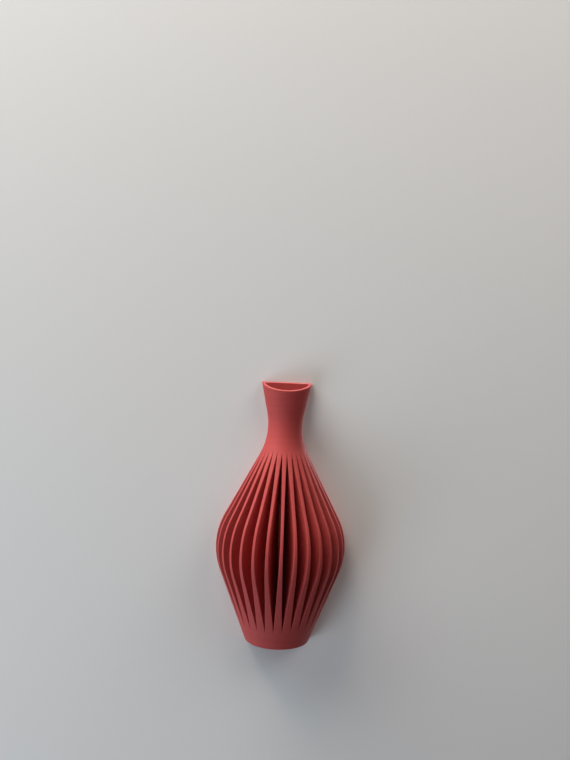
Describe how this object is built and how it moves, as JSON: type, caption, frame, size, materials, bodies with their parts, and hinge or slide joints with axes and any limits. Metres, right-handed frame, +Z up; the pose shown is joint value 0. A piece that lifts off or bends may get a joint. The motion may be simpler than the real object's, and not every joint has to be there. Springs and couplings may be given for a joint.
{
  "type": "hanging wall vase",
  "caption": "Half-round hanging wall vase with a slim flared neck and an open body of upright ribs, held flat to a wall by a keyhole on a screw and plug.",
  "frame": {"origin": "where the axis of the wall screw meets the wall, in the plane of the vase's flat back", "axes": "+Z up along the vase, +Y into the wall, +X to the right of someone facing the vase"},
  "size_m": [0.1064, 0.0862, 0.2133],
  "materials": {
    "coral_print": "matte printed layers",
    "zinc_steel": "zinc plated",
    "plug_nylon": "moulded nylon"
  },
  "bodies": {
    "wall_fixing": {"wall_screw": "zinc_steel", "wall_plug": "plug_nylon"},
    "vase": {"neck": "coral_print", "rib_01": "coral_print", "rib_02": "coral_print", "rib_03": "coral_print", "rib_04": "coral_print", "rib_05": "coral_print", "rib_06": "coral_print", "rib_07": "coral_print", "rib_08": "coral_print", "rib_09": "coral_print", "rib_10": "coral_print", "rib_11": "coral_print", "rib_12": "coral_print", "rib_13": "coral_print", "rib_14": "coral_print", "rib_15": "coral_print", "foot_cup": "coral_print", "back_plate": "coral_print"}
  },
  "joints": [
    {"name": "lift_off", "type": "slide", "parent": "wall_fixing", "child": "vase", "axis": [0, 0, 1], "range_m": [0, 0.01]}
  ]
}
